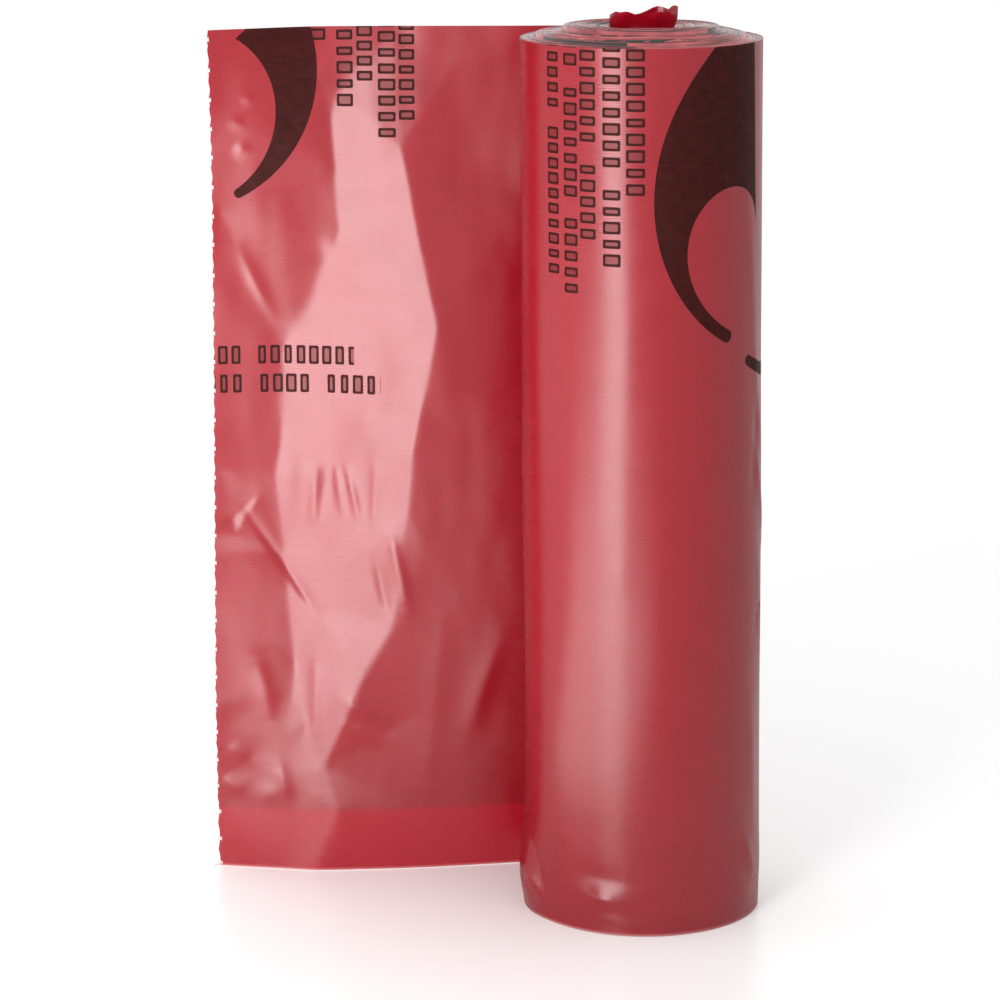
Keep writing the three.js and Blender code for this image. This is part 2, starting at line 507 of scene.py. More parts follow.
def tail_relief():
    """How far back the film stands at each grid point: its smooth line, its facets and its fine creases."""
    corners, triangles = net_triangles()
    facets = paint_triangles(corners, triangles, solve_net(corners, triangles))
    x, z = np.meshgrid(RELIEF_X, RELIEF_Z, indexing="ij")
    nearness = np.zeros_like(x)
    for run in CREASES:
        for a, b in zip(run, run[1:]):
            distance, _ = distance_to_segment(x, z, NET[a], NET[b])
            nearness = np.maximum(nearness, np.exp(-((distance / CRISP_REACH) ** 2)))
    soft = blur(facets, SOFT_CREASE)
    crisp = blur(facets, CRISP_CREASE)
    depth = soft + (crisp - soft) * nearness
    for start, end, width, height in FINE_CREASES:
        depth -= ridge(x, z, start, end, width, height, TAIL_RIDGE)
    for (dimple_x, dimple_z), width, height in DIMPLES:
        depth -= height * np.exp(-((x - dimple_x) ** 2 + (z - dimple_z) ** 2) / width**2)
    waves = 0.35 * soft_noise(x.shape, (9, 22), seed=11) * smooth_step(-x, 60, 120)
    waves += 0.05 * soft_noise(x.shape, (3, 7), seed=12) * smooth_step(-x, 12, 45)
    return depth + waves


def sample(field, x, z):
    """A field on the relief's grid, read between its points."""
    u = np.clip(x - RELIEF_X[0], 0, len(RELIEF_X) - 1.001)
    v = np.clip(z - RELIEF_Z[0], 0, len(RELIEF_Z) - 1.001)
    i, j = u.astype(int), v.astype(int)
    du, dv = u - i, v - j
    near = field[i, j] * (1 - dv) + field[i, j + 1] * dv
    far = field[i + 1, j] * (1 - dv) + field[i + 1, j + 1] * dv
    return near * (1 - du) + far * du


RELIEF = tail_relief()


def torn_edge(z, offset=0.0):
    """Where the torn edge stands: shallow bites between the perforation's ties."""
    phase = (np.asarray(z) + offset) / PERFORATION_PITCH
    bite = 1 - (2 * (phase - np.floor(phase)) - 1) ** 2
    return -TAIL_REACH - 3.2 + 2.4 * smooth_step(z, 0, WEB_WIDTH) + 0.8 * bite


# The outer skin: relief on the wound part of the leading bag, over (arc, z). The arc is measured along the
# roll's surface from the line that faces the front, and is positive to the right.
SKIN_CREASES = [
    ((-70, 377), (70, 376), 0.9, 0.14),
    ((-20, 366), (75, 367), 0.9, 0.16),
    ((52, 330), (62, 250), 4.0, 0.5),
    ((58, 262), (70, 205), 3.0, 0.7),
    ((64, 238), (58, 190), 2.4, -0.6),
    ((60, 215), (74, 168), 3.0, 0.8),
    ((70, 150), (60, 128), 0.8, -0.6),
    ((66, 165), (70, 110), 3.0, 0.6),
    ((58, 100), (62, 40), 4.0, 0.6),
    ((52, 40), (60, 16), 3.5, 0.9),
    ((50, 24), (66, 10), 4.0, -0.8),
    ((-26, 17), (-12, 15), 3.0, 1.0),
    ((-30, 26), (-8, 24), 5.0, -0.7),
    ((-24, 8), (6, 3), 2.2, 0.4),
    ((-66, 32), (-52, 8), 2.8, 1.8),
    ((-60, 30), (-47, 6), 2.6, -1.4),
    ((-14, 168), (-10, 150), 6.0, 0.2),
]
SKIN_BULGES = [
    ((-64, 16), (13, 13), 3.4),
    ((-80, 20), (16, 20), 1.6),
    ((-18, 16), (13, 6), 0.9),
    ((60, 22), (18, 14), 1.1),
    ((34, 8), (20, 7), 0.6),
    ((66, 180), (14, 70), 0.9),
    ((20, 60), (30, 40), -0.35),
    ((-10, 230), (26, 60), -0.25),
]


def skin_relief(arc, z):
    """How far the outer turn stands proud of a true cylinder."""
    proud = np.zeros_like(arc)
    for start, end, width, height in SKIN_CREASES:
        proud += ridge(arc, z, start, end, width, height, SKIN_RIDGE)
    for (bulge_arc, bulge_z), (wide, high), height in SKIN_BULGES:
        proud += height * np.exp(-(((arc - bulge_arc) / wide) ** 2) - ((z - bulge_z) / high) ** 2)
    noise = soft_noise((360, 400), (14, 40), seed=21) * 0.16 + soft_noise((360, 400), (5, 12), seed=22) * 0.03
    i = np.clip((arc + 180).astype(int), 0, 359)
    j = np.clip(z.astype(int), 0, 399)
    proud += noise[i, j]
    return proud


def tail_length():
    """The web's length from its torn edge to the line where it leaves the roll."""
    x = np.arange(-TAIL_REACH, 0.5)
    y = base_line(x, np.full_like(x, WEB_WIDTH / 2))
    return np.hypot(np.diff(x), np.diff(y)).sum()


TAIL_LENGTH = tail_length()


# Shader arithmetic and the printed motifs.


class Num:
    """A number worked out in a shader, so that a pattern can be written as a plain formula."""

    def __init__(self, tree, socket):
        self.tree = tree
        self.socket = socket

    def math(self, operation, *others, clamp=False):
        node = self.tree.nodes.new("ShaderNodeMath")
        node.operation = operation
        node.use_clamp = clamp
        for slot, value in zip(node.inputs, (self, *others)):
            if isinstance(value, Num):
                self.tree.links.new(value.socket, slot)
            else:
                slot.default_value = value
        return Num(self.tree, node.outputs[0])

    def __add__(self, other):
        return self.math("ADD", other)

    def __sub__(self, other):
        return self.math("SUBTRACT", other)

    def __mul__(self, other):
        return self.math("MULTIPLY", other)

    def __truediv__(self, other):
        return self.math("DIVIDE", other)

    def __pow__(self, other):
        return self.math("POWER", other)

    def __lt__(self, other):
        return self.math("LESS_THAN", other)

    def __gt__(self, other):
        return self.math("GREATER_THAN", other)

    def size(self):
        return self.math("ABSOLUTE")

    def least(self, other):
        return self.math("MINIMUM", other)

    def most(self, other):
        return self.math("MAXIMUM", other)


INK_EDGE = 0.12
FAR_AWAY = 1000.0


def inside(distance):
    """1 inside a shape, 0 outside, from the distance to its outline."""
    return (distance * (-1 / INK_EDGE)).math("ADD", 0.5, clamp=True)


def outline(distance, width):
    return inside((distance + width / 2).size() - width / 2)


def horn(s, t, centre, radius, tip_angle, sweep, tip_width, growth, power):
    """Distance to an arc that widens from a round tip. Angles are degrees, and the sweep may be negative."""
    tip = np.radians(tip_angle)
    side = np.sign(sweep)
    ds = s - centre[0]
    dt = t - centre[1]
    along = ds * float(np.cos(tip)) + dt * float(np.sin(tip))
    across = (ds * float(-np.sin(tip)) + dt * float(np.cos(tip))) * float(side)
    angle = across.math("ARCTAN2", along) * (180 / np.pi)
    from_centre = (ds * ds + dt * dt).math("SQRT")
    width = (angle.most(0.0) ** power) * growth + tip_width
    past_end = (angle > abs(sweep)).most(angle < 0.0)
    body = (from_centre - radius).size() - width + past_end * FAR_AWAY
    tip_s = ds - radius * float(np.cos(tip))
    tip_t = dt - radius * float(np.sin(tip))
    cap = (tip_s * tip_s + tip_t * tip_t).math("SQRT") - tip_width
    return body.least(cap)


def dashes(along, across, start, end, middle, cell, height, gaps, seed):
    """Distance to a row of plain blocks of uneven widths: one to a cell, apart from the blank cells."""
    place_in_row = along - start
    number = (place_in_row / cell).math("FLOOR")
    uneven = along.tree.nodes.new("ShaderNodeTexWhiteNoise")
    uneven.noise_dimensions = "1D"
    along.tree.links.new((number + seed).socket, uneven.inputs["W"])
    half_width = Num(along.tree, uneven.outputs["Value"]) * (0.14 * cell) + 0.27 * cell
    from_middle = (place_in_row - number * cell - cell / 2).size()
    block = (from_middle - half_width).math("SMOOTH_MAX", (across - middle).size() - height / 2, 1.2)
    blank = (place_in_row < 0.0).most(along > end)
    for gap in gaps:
        blank = blank.most((number - gap).size() < 0.5)
    return block + blank * FAR_AWAY


# Rows of blocks: along "s" or "t", start, end, middle line, cell, height, blank cells.
INNER_FACE_ROWS = [
    ("t", 380.0, 420.0, 47.5, 7.4, 7.2, ()),
    ("t", 351.0, 420.0, 59.5, 7.2, 7.4, ()),
    ("t", 362.0, 420.0, 68.5, 6.6, 7.2, ()),
    ("t", 337.0, 420.0, 78.5, 7.0, 8.0, ()),
    ("t", 345.0, 420.0, 87.5, 6.6, 7.2, ()),
    ("s", -6.0, 62.5, 240.5, 5.9, 8.4, (3,)),
    ("s", -6.0, 74.5, 227.5, 6.1, 8.4, (3, 8)),
]
OUTER_FACE_ROWS = [
    ("t", 325.0, 420.0, 359.7, 7.0, 8.0, ()),
    ("t", 295.0, 420.0, 369.9, 6.9, 7.8, (5,)),
    ("t", 305.7, 420.0, 380.7, 6.8, 7.4, (5,)),
    ("t", 281.8, 420.0, 389.2, 6.9, 7.0, (5, 13)),
    ("t", 289.6, 420.0, 399.0, 6.4, 6.6, (10,)),
    ("t", 330.0, 420.0, 118.0, 7.0, 8.0, ()),
    ("t", 300.0, 420.0, 106.0, 6.9, 7.8, (6,)),
    ("t", 310.0, 420.0, 95.0, 6.8, 7.4, (5,)),
    ("t", 286.0, 420.0, 85.0, 6.9, 7.0, (5, 11)),
]
# Horns: centre, radius, tip angle, sweep, tip half-width, growth, power.
INNER_FACE_HORNS = [((-16.0, 359.0), 53.0, -59.0, 100.0, 2.2, 0.036, 1.3)]
OUTER_FACE_HORNS = [
    ((294.0, 308.0), 49.5, -62.0, 150.0, 2.8, 6.2e-5, 2.7),
    ((272.0, 306.0), 62.0, -61.0, -70.0, 2.4, 0.012, 1.3),
    ((120.0, 330.0), 60.0, -118.0, -120.0, 2.6, 0.03, 1.4),
]
# Where the inks of bags further in cross the fold, as (start, end) along a bag.
INNER_TURN_INK = [(520, 566), (610, 640), (705, 790), (868, 902), (950, 968)]
BAG_LENGTH = 1041.0


def link(tree, source, target):
    tree.links.new(source.socket if isinstance(source, Num) else source, target)


def mix_colours(tree, amount, first, second):
    node = tree.nodes.new("ShaderNodeMix")
    node.data_type = "RGBA"
    link(tree, amount, node.inputs["Factor"])
    for slot, value in ((node.inputs[6], first), (node.inputs[7], second)):
        if isinstance(value, tuple):
            slot.default_value = (*value, 1)
        else:
            tree.links.new(value, slot)
    return node.outputs[2]


def web_coordinates(tree):
    """s and t of the shaded point, in millimetres, from the UV map."""
    uv = tree.nodes.new("ShaderNodeUVMap")
    uv.uv_map = "web"
    parts = tree.nodes.new("ShaderNodeSeparateXYZ")
    tree.links.new(uv.outputs["UV"], parts.inputs[0])
    return Num(tree, parts.outputs["X"]), Num(tree, parts.outputs["Y"])


def noise(tree, s, t, scale_s, scale_t, detail=2.0):
    """Smooth noise from 0 to 1 over the web, with its own size along s and t, in millimetres."""
    joined = tree.nodes.new("ShaderNodeCombineXYZ")
    link(tree, s / scale_s, joined.inputs["X"])
    link(tree, t / scale_t, joined.inputs["Y"])
    node = tree.nodes.new("ShaderNodeTexNoise")
    node.inputs["Scale"].default_value = 1.0
    node.inputs["Detail"].default_value = detail
    tree.links.new(joined.outputs[0], node.inputs["Vector"])
    return Num(tree, node.outputs["Fac"])


FILM_COLOURS = ((0.265, 0.001, 0.008), (0.31, 0.002, 0.012))
FILM_THROUGH = (0.41, 0.004, 0.018)
INK_COLOUR = (0.030, 0.005, 0.004)
INK_THROUGH = (0.03, 0.008, 0.008)
TORN_COLOURS = ((0.62, 0.16, 0.18), (0.92, 0.66, 0.66))
# Painted highlight: a pale line along the film's foot edge, standing in for the light that the edge catches.
FOOT_PAINTED_HIGHLIGHT = (0.62, 0.25, 0.25)
# Painted shade and painted glints for the turns' edges: dark segments stand in for shade between bunches, and pale
# ones stand in for glints on the folds.
TURN_EDGE_PAINTED_SHADE = (0.17, 0.004, 0.010)
TURN_EDGE_PAINTED_GLINT = (0.58, 0.11, 0.12)
TURN_EDGE_INK = (0.010, 0.004, 0.004)
FILM_ROUGHNESS = 0.28
TORN_ROUGHNESS = 0.4
FILM_SHEERNESS = 0.36
PLIES_GLOSS = 0.78
LOOSE_PLIES_GLOSS = 0.92
# How far up from the foot the painted highlight reaches on each face, in millimetres.
INNER_FOOT_HIGHLIGHT_HEIGHT = 0.01
OUTER_FOOT_HIGHLIGHT_HEIGHT = 1.3
INK_GLOSS = 0.10
INK_DULLING = 0.3


def printed_film(name, rows, horns, foot_highlight_height, gloss):
    """Film with its print on one face: glossy, letting some light through, and with a painted highlight along its
    foot.
    """
    material = bpy.data.materials.new(name)
    material.use_nodes = True
    tree = material.node_tree
    tree.nodes.clear()
    s, t = web_coordinates(tree)

    ink = None
    line = None
    for i, (way, start, end, middle, cell, height, gaps) in enumerate(rows):
        along, across = (s, t) if way == "s" else (t, s)
        distance = dashes(along, across, start, end, middle, cell, height, gaps, seed=17.0 * i)
        ring = outline(distance, 1.15)
        body = inside(distance)
        line = ring if line is None else line.most(ring)
        ink = body if ink is None else ink.most(body)
    ink = ink * 0.45
    for shape in horns:
        distance = horn(s, t, *shape)
        line = line.most(outline(distance, 0.8))
        ink = ink.most(inside(distance))

    streaks = noise(tree, s, t, 9.0, 0.35)
    patches = noise(tree, s, t, 5.0, 5.0)
    cover = (streaks * 0.22 + patches * 0.12).math("SUBTRACT", 1.13).size()
    printed = (ink * cover).most(line * 0.97)

    bands = noise(tree, s, t, 260.0, 5.0)
    mottle = noise(tree, s, t, 22.0, 14.0)
    shade = bands * 0.5 + mottle * 0.5
    film_tone_and_painted_light = mix_colours(tree, shade, *FILM_COLOURS)
    # A painted highlight: the film turns pale towards its foot edge, as if the edge caught the light.
    foot_highlight = (t * (-1 / foot_highlight_height)).math("ADD", 1.0, clamp=True)
    film_tone_and_painted_light = mix_colours(tree, foot_highlight * 0.8, film_tone_and_painted_light, FOOT_PAINTED_HIGHLIGHT)
    colour = mix_colours(tree, printed, film_tone_and_painted_light, INK_COLOUR)

    front = tree.nodes.new("ShaderNodeBsdfPrincipled")
    tree.links.new(colour, front.inputs["Base Color"])
    roughness = mottle * 0.10 + streaks * 0.04 + printed * INK_DULLING + (FILM_ROUGHNESS - 0.07)
    link(tree, roughness, front.inputs["Roughness"])
    link(tree, printed * (INK_GLOSS - gloss) + gloss, front.inputs["Specular IOR Level"])

    hairlines = noise(tree, s, t, 40.0, 0.6, detail=3.0)
    orange_peel = noise(tree, s, t, 3.0, 3.0)
    bump = tree.nodes.new("ShaderNodeBump")
    bump.inputs["Strength"].default_value = 0.25
    bump.inputs["Distance"].default_value = 0.00006
    link(tree, hairlines * 0.15 + orange_peel * 0.6 + printed * 0.5, bump.inputs["Height"])
    tree.links.new(bump.outputs[0], front.inputs["Normal"])

    through = tree.nodes.new("ShaderNodeBsdfTranslucent")
    through_colour = mix_colours(tree, printed, FILM_THROUGH, INK_THROUGH)
    tree.links.new(through_colour, through.inputs["Color"])
    shared = tree.nodes.new("ShaderNodeMixShader")
    shared.inputs["Fac"].default_value = FILM_SHEERNESS
    tree.links.new(front.outputs[0], shared.inputs[1])
    tree.links.new(through.outputs[0], shared.inputs[2])
    output = tree.nodes.new("ShaderNodeOutputMaterial")
    tree.links.new(shared.outputs[0], output.inputs["Surface"])
    return material


def turn_film():
    """The edges of the wound turns: film with the inks of every bag where they cross the fold, and painted shade
    and painted glints in segments along the turns.
    """
    material = bpy.data.materials.new("wound_film_edges")
    material.use_nodes = True
    tree = material.node_tree
    front = tree.nodes["Principled BSDF"]
    s, t = web_coordinates(tree)
    on_bag = s.math("MODULO", BAG_LENGTH)
    ink = None
    crossings = INNER_TURN_INK + [(7, 43), (281, 350)]
    for start, end in crossings:
        middle, half = (start + end) / 2, (end - start) / 2
        band = inside((on_bag - middle).size() - half)
        ink = band if ink is None else ink.most(band)
    for _, _, _, middle, _, height, _ in INNER_FACE_ROWS[:5] + OUTER_FACE_ROWS:
        ink = ink.most(inside((on_bag - middle).size() - height / 2))
    near_top = ((t - (WEB_WIDTH - 40.0)) / 40.0).math("GREATER_THAN", 0.0)
    printed = ink * near_top
    # Painted light and shade: segments along each turn go dark as painted shade, or pale as painted glints.
    mottle = (noise(tree, s, t, 26.0, 400.0) * 4.0).math("SUBTRACT", 1.5, clamp=True)
    film_tone_and_painted_light = mix_colours(tree, mottle, TURN_EDGE_PAINTED_SHADE, TURN_EDGE_PAINTED_GLINT)
    tree.links.new(mix_colours(tree, printed, film_tone_and_painted_light, TURN_EDGE_INK), front.inputs["Base Color"])
    link(tree, mottle * 0.1 + 0.16, front.inputs["Roughness"])
    front.inputs["Specular IOR Level"].default_value = PLIES_GLOSS
    return material


def torn_film():
    """Film whitened where it was stretched and torn."""
    material = bpy.data.materials.new("torn_film")
    material.use_nodes = True
    tree = material.node_tree
    front = tree.nodes["Principled BSDF"]
    s, t = web_coordinates(tree)
    whitening = noise(tree, s, t, 1.2, 1.2)
    tree.links.new(mix_colours(tree, whitening, *TORN_COLOURS), front.inputs["Base Color"])
    front.inputs["Roughness"].default_value = TORN_ROUGHNESS
    return material


inner_face_film = printed_film(
    "red_film_inner_face", INNER_FACE_ROWS, INNER_FACE_HORNS, INNER_FOOT_HIGHLIGHT_HEIGHT, LOOSE_PLIES_GLOSS
)
outer_face_film = printed_film(
    "red_film_outer_face", OUTER_FACE_ROWS, OUTER_FACE_HORNS, OUTER_FOOT_HIGHLIGHT_HEIGHT, PLIES_GLOSS
)
wound_film = turn_film()
whitened_film = torn_film()


# The leading bag's two flaps. Rows stand closer together near the outer flap's foot, where its cut edge shows.
FOOT_ROWS = np.arange(0, 34, 1.3)
UPPER_ROWS = np.arange(34, WEB_WIDTH, 2.05)
INNER_ROWS = np.arange(FRONT_FLAP_FOOT, WEB_WIDTH, 1.25)
OUTER_COLUMNS = 96
WRAP_COLUMNS = 176
INNER_COLUMNS = 150
SKIN_EASE = 0.35
BITES_OUT_OF_STEP = 5.0


def fold_over(points, inward, gap, web):
    """Three more rows that carry a flap over the fold at the top, inwards by the gap."""
    rows = [points]
    coordinates = [web]
    for share in (0.25, 0.6, 1.0):
        angle = share * np.pi / 2
        row = points[:, -1] + inward[:, -1] * gap * (1 - np.cos(angle))
        row = row + np.array([0, 0, gap * 0.5]) * np.sin(angle)
        rows.append(row[:, None])
        coordinates.append(web[:, -1:] + [0, gap * share])
    return np.concatenate(rows, axis=1), np.concatenate(coordinates, axis=1)


def tail_points(z, columns, offset, edge_offset):
    """The tail's points over a grid, with offset towards the front, and their web coordinates."""
    share = np.linspace(0, 1, columns)[:, None]
    edge = torn_edge(z, edge_offset)[None, :]
    x = edge * (1 - share)
    rows = np.broadcast_to(z[None, :], x.shape)
    depth = sample(RELIEF, x, rows)
    hold = smooth_step(x, -TAIL_REACH, 0)
    points = np.stack([x + lean(rows) * hold, depth - offset, rows], axis=-1)
    web = np.stack([(x + TAIL_REACH) * TAIL_LENGTH / TAIL_REACH, rows], axis=-1)
    return points, web


def outer_flap():
    """The flap that faces outwards: along the tail, clockwise round the roll and a little under itself."""
    z = np.concatenate([FOOT_ROWS, UPPER_ROWS, [WEB_WIDTH]])
    tail, tail_web = tail_points(z, OUTER_COLUMNS, 0.0, BITES_OUT_OF_STEP)

    angles = np.linspace(0, TURN + TUCKED_ANGLE, WRAP_COLUMNS)[1:]
    angle, rows = np.meshgrid(angles, z, indexing="ij")
    arc = (np.pi - angle) * ROLL_RADIUS
    radius = ROLL_RADIUS - TURN_PITCH * angle / TURN
    radius += skin_relief(arc, rows) * smooth_step(np.minimum(angle, TURN - angle), 0, SKIN_EASE)
    wrap = np.stack([radius * np.sin(angle) + lean(rows), radius * np.cos(angle), rows], axis=-1)
    wrap_web = np.stack([TAIL_LENGTH + ROLL_RADIUS * angle, rows], axis=-1)

    points = np.concatenate([tail, wrap])
    web = np.concatenate([tail_web, wrap_web])
    tail_inward = np.broadcast_to([0.0, -1.0, 0.0], tail.shape)
    wrap_inward = np.stack([-np.sin(angle), -np.cos(angle), np.zeros_like(angle)], axis=-1)
    points, web = fold_over(points, np.concatenate([tail_inward, wrap_inward]), FLAP_GAP / 2, web)
    columns, rows_count = points.shape[:2]
    return add_mesh(
        "leading_bag_outer_flap",
        points.reshape(-1, 3),
        grid_faces(columns, rows_count),
        [outer_face_film],
        web.reshape(-1, 2),
    )


def inner_flap():
    """The tail's front flap: shorter at its foot, and ending where the tail meets the roll."""
    z = np.concatenate([INNER_ROWS, [WEB_WIDTH]])
    points, web = tail_points(z, INNER_COLUMNS, FLAP_GAP, 0.0)
    inward = np.broadcast_to([0.0, 1.0, 0.0], points.shape)
    points, web = fold_over(points, inward, FLAP_GAP / 2, web)
    columns, rows_count = points.shape[:2]
    faces = grid_faces(columns, rows_count)[:, ::-1]
    return add_mesh(
        "leading_bag_inner_flap",
        points.reshape(-1, 3),
        faces,
        [inner_face_film],
        web.reshape(-1, 2),
    )


# The perforation's ties: two near the foot stretched into hooks, and the rest are short blades.
HOOKED_TIES = (0, 2)
HOOK_LENGTH = 4.2
HOOK_CURL = -2.4
TIE_LENGTHS = (1.3, 2.8)
TIE_CURLS = (-0.8, 0.8)
TIE_HALF_WIDTH = 0.95
TIE_STEPS = 6


def perforation_nibs():
    """The ties that stretched and tore at the perforation: one small curled blade at each, on both flaps."""
    random = np.random.default_rng(31)
    points = []
    faces = []
    count = int(WEB_WIDTH / PERFORATION_PITCH)
    for i in range(count + 1):
        height = i * PERFORATION_PITCH + random.uniform(-0.4, 0.4)
        height = min(max(height, 1.2), WEB_WIDTH - 1.5)
        length = random.uniform(*TIE_LENGTHS)
        curl = random.uniform(*TIE_CURLS)
        if i in HOOKED_TIES:
            length = HOOK_LENGTH
            curl = HOOK_CURL
        on_outer = height < FRONT_FLAP_FOOT
        flap = 0.0 if on_outer else FLAP_GAP
        x = float(torn_edge(height, BITES_OUT_OF_STEP if on_outer else 0.0))
        y = float(sample(RELIEF, np.array([x]), np.array([height]))[0]) - flap
        first = len(points)
        forward = random.uniform(-0.9, 0.5)
        for j in range(TIE_STEPS + 1):
            share = j / TIE_STEPS
            half = TIE_HALF_WIDTH * (1 - share) ** 1.3 + 0.08
            thick = 0.16 * (1 - share) + 0.05
            px = x + 1.0 - (length + 1.0) * share
            pz = height + curl * share**2
            py = y + forward * share**2
            points += [(px, py - thick, pz - half), (px, py - thick, pz + half), (px, py + thick, pz + half)]
            points += [(px, py + thick, pz - half)]
        for j in range(TIE_STEPS):
            a = first + 4 * j
            for k in range(4):
                faces.append((a + k, a + (k + 1) % 4, a + 4 + (k + 1) % 4, a + 4 + k))
        faces.append((first, first + 3, first + 2, first + 1))
        last = first + 4 * TIE_STEPS
        faces.append((last, last + 1, last + 2, last + 3))
    points = np.array(points)
    web = points[:, [0, 2]]
    return add_mesh("perforation_nibs", points, faces, [whitened_film], web)


# The wound turns. Each bunch of turns lists its outer radius and how far it has slipped up.
BUNCHES = [
    (51.9, 0.0),
    (50.3, 0.3),
    (48.0, 0.5),
    (45.5, 2.2),
    (41.6, 2.7),
    (37.4, 3.3),
    (33.0, 5.2),
    (28.6, 5.5),
    (23.6, 5.3),
    (18.9, 4.9),
]
WOUND_INNER_RADIUS = 14.8
BODY_RADIUS = 49.8
RIBBON = 0.25
RIBBON_DEPTH = 4.0
TURN_STEPS = 96
BODY_DROP = 2.6
BODY_INSET = 0.3
BODY_STEPS = 72
TIGHTEST_STEP = 0.27


def turn_radii(random):
    """The radius of each turn at each step round it, with the air between bunches gathered here and there."""
    outer = BUNCHES[0][0]
    count = int((outer - WOUND_INNER_RADIUS) / TURN_PITCH)
    angle = np.linspace(0, TURN, TURN_STEPS, endpoint=False)
    even = outer - TURN_PITCH * np.arange(count + 2)
    air = np.zeros((count + 2, TURN_STEPS)) + 0.004
    air += 0.03 * random.random((count + 2, 1))
    for radius, _ in BUNCHES[1:]:
        turn = int(np.argmin(np.abs(even - radius)))
        centre = random.uniform(0, TURN)
        for lobes, size in ((1, 0.75), (2, 0.5)):
            air[turn] += size * np.clip(np.cos(lobes * (angle - centre)), -0.2, 1) + 0.25 * size
    for _ in range(16):
        turn = random.integers(4, count - 2)
        centre = random.uniform(0, TURN)
        away = np.abs((angle - centre + np.pi) % TURN - np.pi)
        air[turn] += random.uniform(0.2, 0.6) * np.exp(-((away / 0.5) ** 2))
    air = np.clip(air, 0.002, None)
    room = (outer - WOUND_INNER_RADIUS) - TIGHTEST_STEP * (count + 1)
    air *= room / air[:-1].sum(axis=0, keepdims=True)
    steps = TIGHTEST_STEP + air
    radii = outer - np.concatenate([np.zeros((1, TURN_STEPS)), np.cumsum(steps[:-1], axis=0)])
    return radii, even


def spiral(radii):
    """One continuous spiral through the turns' radii, going clockwise and inwards from the back."""
    count = len(radii) - 1
    share = np.arange(TURN_STEPS) / TURN_STEPS
    radius = (radii[:-1] * (1 - share) + radii[1:] * share).ravel()
    angle = np.arange(count * TURN_STEPS) * TURN / TURN_STEPS
    length = np.concatenate([[0], np.cumsum(radius[:-1] * TURN / TURN_STEPS)])
    return radius, angle, length


def bunch_lift(radius):
    """How far a turn of this radius has slipped up."""
    lifts = np.zeros_like(radius)
    for outer, lift in BUNCHES:
        lifts = np.where(radius <= outer + 0.1, lift, lifts)
    return lifts


def wound_turns(random):
    """The turns' top and foot edges, as a spiral ribbon at each end, with a plain body between them."""
    radii, even = turn_radii(random)
    radius, angle, length = spiral(radii)
    turn = (angle / TURN).astype(int)
    waves = np.zeros_like(angle)
    for lobes in (1, 2, 3, 5):
        phase = random.uniform(0, TURN)
        waves += 0.16 / lobes**0.5 * np.cos(lobes * angle + phase + radius * 0.35)
    ragged = random.normal(0, 0.13, turn.max() + 1)[turn]
    lift = bunch_lift(even[turn]) + waves + ragged
    lift *= smooth_step(ROLL_RADIUS - radius, 0.2, 2.0)

    points = []
    faces = []
    web = []

    def ribbon(heights, depth, keep):
        """A ribbon with its free edge at the given heights, and its foot deeper in the roll."""
        chosen = np.arange(0, len(radius), keep)
        first = sum(len(block) for block in points)
        for out, z in ((1, heights - depth), (1, heights), (-1, heights), (-1, heights - depth)):
            r = radius + out * RIBBON / 2
            block = np.stack([r * np.sin(angle) + lean(z), r * np.cos(angle), z], axis=-1)[chosen]
            points.append(block)
            web.append(np.stack([TAIL_LENGTH + TURN * ROLL_RADIUS + length, z], axis=-1)[chosen])
        n = len(chosen)
        row = first + np.arange(n - 1)
        for k in range(3):
            a = row + k * n
            quad = np.stack([a, a + 1, a + n + 1, a + n], axis=-1)
            faces.append(quad if depth > 0 else quad[:, ::-1])

    ribbon(WEB_WIDTH - 0.1 + lift, RIBBON_DEPTH, 1)
    foot_lift = bunch_lift(even[turn])
    ribbon(0.05 + foot_lift, -RIBBON_DEPTH, 2)

    profile = []
    steps = [(outer, lift) for outer, lift in BUNCHES] + [(WOUND_INNER_RADIUS, BUNCHES[-1][1])]
    for (outer, lift_here), (inner, _) in zip(steps, steps[1:]):
        height = WEB_WIDTH + lift_here - BODY_DROP
        profile += [(min(outer, BODY_RADIUS) - BODY_INSET, height), (inner - BODY_INSET, height)]
    for (outer, lift_here), (inner, _) in reversed(list(zip(steps, steps[1:]))):
        height = lift_here + BODY_DROP
        profile += [(inner - BODY_INSET, height), (min(outer, BODY_RADIUS) - BODY_INSET, height)]
    around = np.linspace(0, TURN, BODY_STEPS, endpoint=False)
    first = sum(len(block) for block in points)
    body = [[(r * np.sin(a) + lean(z), r * np.cos(a), z) for a in around] for r, z in profile]
    points.append(np.array(body).reshape(-1, 3))
    web.append(np.array([[(r * a, 100.0) for a in around] for r, z in profile]).reshape(-1, 2))
    for i in range(len(profile)):
        for j in range(len(around)):
            here, beside = first + i * BODY_STEPS, first + (i + 1) % len(profile) * BODY_STEPS
            next_j = (j + 1) % BODY_STEPS
            faces.append(np.array([[here + j, beside + j, beside + next_j, here + next_j]]))
    return add_mesh(
        "wound_turns",
        np.concatenate(points),
        np.concatenate(faces),
        [wound_film],
        np.concatenate(web),
    )


# The inner end: the band's line in plan, and its top edge, at shares of the way along it.
TUFT_LINE = [
    (0.00, 14.0, 1.5),
    (0.06, 15.0, -3.0),
    (0.20, 9.0, -8.8),
    (0.36, -1.0, -9.8),
    (0.50, -9.5, -7.5),
    (0.57, -13.2, -3.0),
    (0.64, -11.5, 0.6),
    (0.78, -2.0, -2.4),
    (0.90, 7.0, -1.0),
    (1.00, 12.0, -2.2),
]
TUFT_RIM = [
    (0.00, 400.6),
    (0.06, 401.0),
    (0.20, 399.2),
    (0.36, 397.6),
    (0.50, 398.6),
    (0.57, 396.8),
    (0.64, 397.8),
    (0.78, 397.0),
    (0.90, 400.2),
    (1.00, 399.0),
]
TUFT_STEPS = 110
TUFT_ROWS = 34
TUFT_FOOT = 360.0


